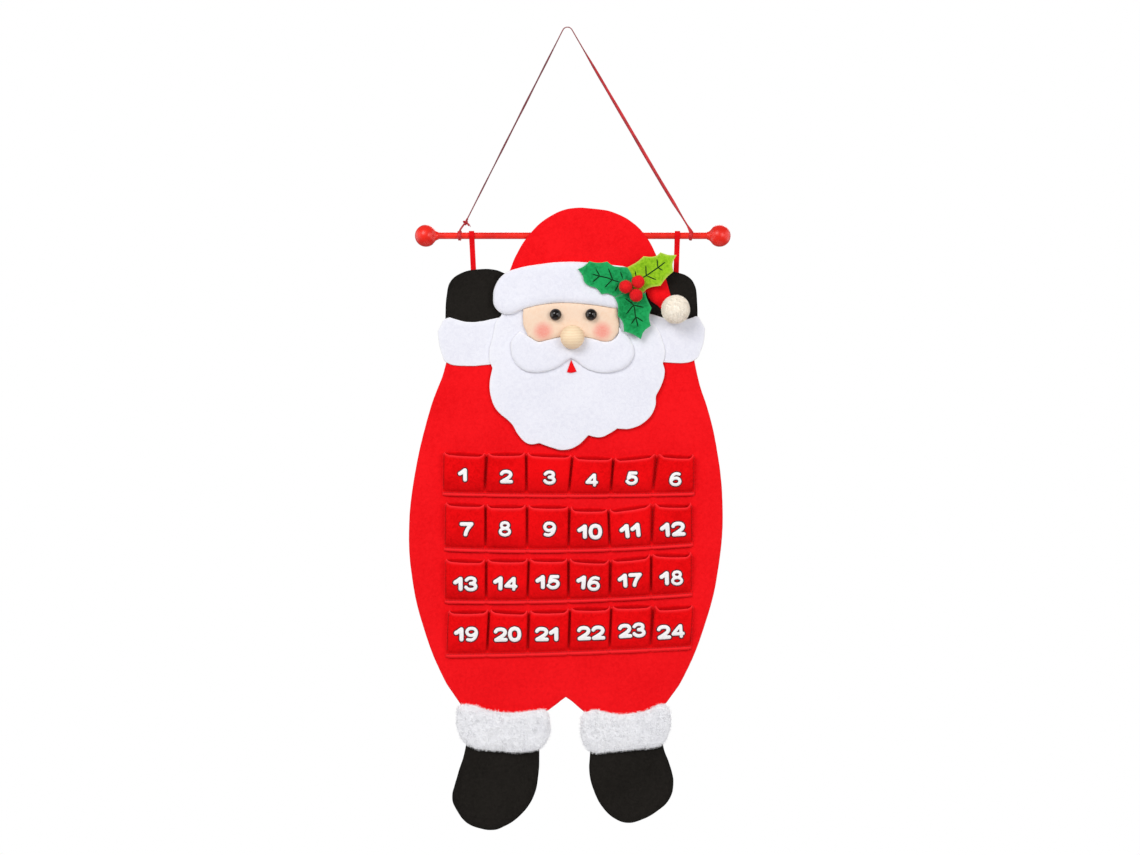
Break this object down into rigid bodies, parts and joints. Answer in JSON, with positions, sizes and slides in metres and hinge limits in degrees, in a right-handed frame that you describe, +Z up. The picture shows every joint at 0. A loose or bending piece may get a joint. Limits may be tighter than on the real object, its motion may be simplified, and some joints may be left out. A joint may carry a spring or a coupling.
{
  "type": "hanging felt advent calendar",
  "caption": "Felt figure in a hat and beard that hangs from a rod on a cord, with rows of open pleated pockets across its body.",
  "frame": {"origin": "top of the cord's loop, where it lies over a hook or a nail", "axes": "+Z up, +X to the viewer's right when facing the front, front of the figure faces -Y and its back faces +Y"},
  "size_m": [0.3858, 0.0528, 0.9641],
  "materials": {
    "red_felt": "napped felt",
    "pocket_felt": "napped felt",
    "white_felt": "napped felt",
    "white_plush": "short pile plush",
    "black_felt": "napped felt",
    "skin_felt": "napped felt",
    "nose_felt": "felted ball",
    "cream_pompom": "fluffy pompom",
    "bead_black": "polished",
    "dark_green_felt": "napped felt",
    "lime_felt": "napped felt",
    "berry_red": "felted ball",
    "painted_wood": "glossy red paint",
    "red_cord": "satin twisted cord"
  },
  "bodies": {
    "hanger": {"hanger_cord": "red_cord", "cord_tie_left": "red_cord", "cord_tie_right": "red_cord"},
    "rod": {"rod": "painted_wood", "end_ball_left": "painted_wood", "end_ball_right": "painted_wood"},
    "figure": {"strap_left": "red_felt", "strap_right": "red_felt", "body_panel": "red_felt", "mitten_left": "black_felt", "mitten_right": "black_felt", "sleeve_cuff_left": "white_felt", "sleeve_cuff_right": "white_felt", "hat": "red_felt", "hat_brim": "white_felt", "beard": "white_felt", "face": "skin_felt", "eye_left": "bead_black", "eye_right": "bead_black", "nose": "nose_felt", "moustache": "white_felt", "mouth": "red_felt", "holly_leaf_left": "dark_green_felt", "holly_leaf_lower": "dark_green_felt", "holly_leaf_right": "lime_felt", "berry_1": "berry_red", "berry_2": "berry_red", "berry_3": "berry_red", "pocket_row_1": "pocket_felt", "pocket_row_2": "pocket_felt", "pocket_row_3": "pocket_felt", "pocket_row_4": "pocket_felt"},
    "pompom": {"pompom": "cream_pompom"},
    "left_leg": {"leg_left": "red_felt", "leg_cuff_left": "white_plush", "boot_left": "black_felt"},
    "right_leg": {"leg_right": "red_felt", "leg_cuff_right": "white_plush", "boot_right": "black_felt"}
  },
  "joints": [
    {"name": "rod_spin", "type": "hinge", "parent": "hanger", "child": "rod", "pos_m": [0, 0, -0.2505], "axis": [1, 0, 0], "continuous": true},
    {"name": "figure_swing", "type": "hinge", "parent": "hanger", "child": "figure", "pos_m": [0, 0, -0.2505], "axis": [-1, 0, 0], "range_deg": [-35, 80]},
    {"name": "pompom_flop", "type": "hinge", "parent": "figure", "child": "pompom", "pos_m": [0.12896, -0.0066, -0.32994], "axis": [-1, 0, 0], "range_deg": [0, 40]},
    {"name": "left_leg_fold", "type": "hinge", "parent": "figure", "child": "left_leg", "pos_m": [0, -0.004, -0.81], "axis": [-1, 0, 0], "range_deg": [0, 75]},
    {"name": "right_leg_fold", "type": "hinge", "parent": "figure", "child": "right_leg", "pos_m": [0, -0.004, -0.81], "axis": [-1, 0, 0], "range_deg": [0, 75]}
  ]
}
